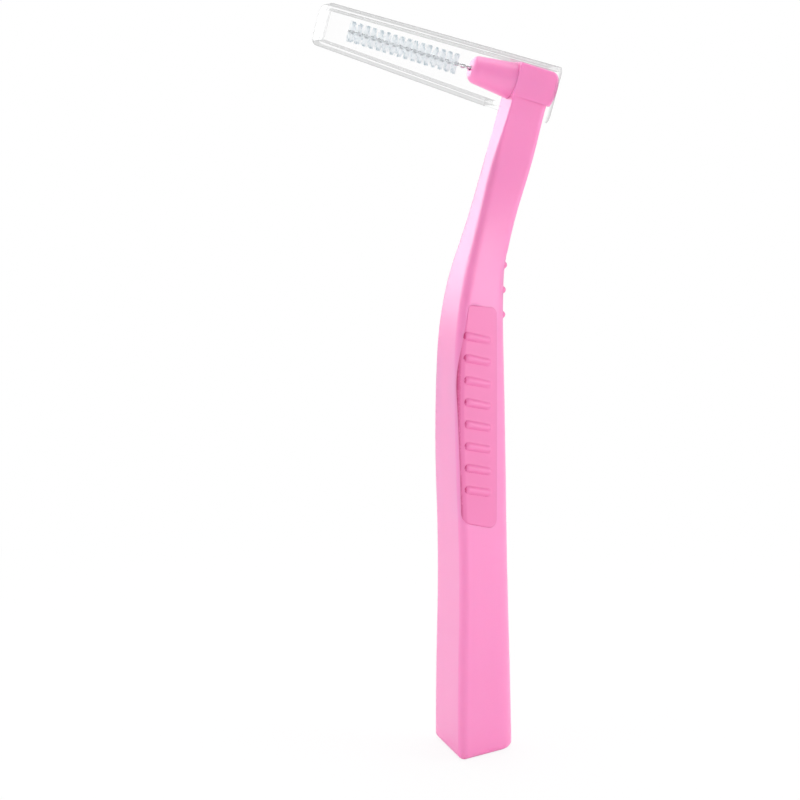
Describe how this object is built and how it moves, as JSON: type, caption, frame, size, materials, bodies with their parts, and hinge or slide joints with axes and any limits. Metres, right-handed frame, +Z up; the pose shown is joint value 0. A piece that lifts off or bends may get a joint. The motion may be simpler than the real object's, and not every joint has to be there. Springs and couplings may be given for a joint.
{
  "type": "interdental brush",
  "caption": "Angled interdental brush: tapered pink handle with ribbed soft grip pads, leaning neck, twisted-wire brush in a tapered holder, and a clear pull-off cap.",
  "frame": {"origin": "centre of the handle's flat base", "axes": "+Z up the handle, -X the way the brush points, Y across the handle with the left pad on -Y"},
  "size_m": [0.0304, 0.0106, 0.0932],
  "materials": {
    "pink_plastic": "smooth, satin gloss, slightly translucent",
    "pink_rubber": "soft matte elastomer with moulded ribs",
    "steel_wire": "bright drawn stainless wire",
    "nylon": "translucent white filaments",
    "clear_plastic": "clear polished"
  },
  "bodies": {
    "brush": {"handle": "pink_plastic", "brush_holder": "pink_plastic", "core_wire": "steel_wire", "bristles": "nylon", "left_grip_pad": "pink_rubber", "right_grip_pad": "pink_rubber", "rear_grip_pad": "pink_rubber"},
    "cap": {"cap": "clear_plastic"}
  },
  "joints": [
    {"name": "cap_slide", "type": "slide", "parent": "brush", "child": "cap", "axis": [-0.9632, 0, 0.2689], "range_m": [0, 0.034]}
  ]
}
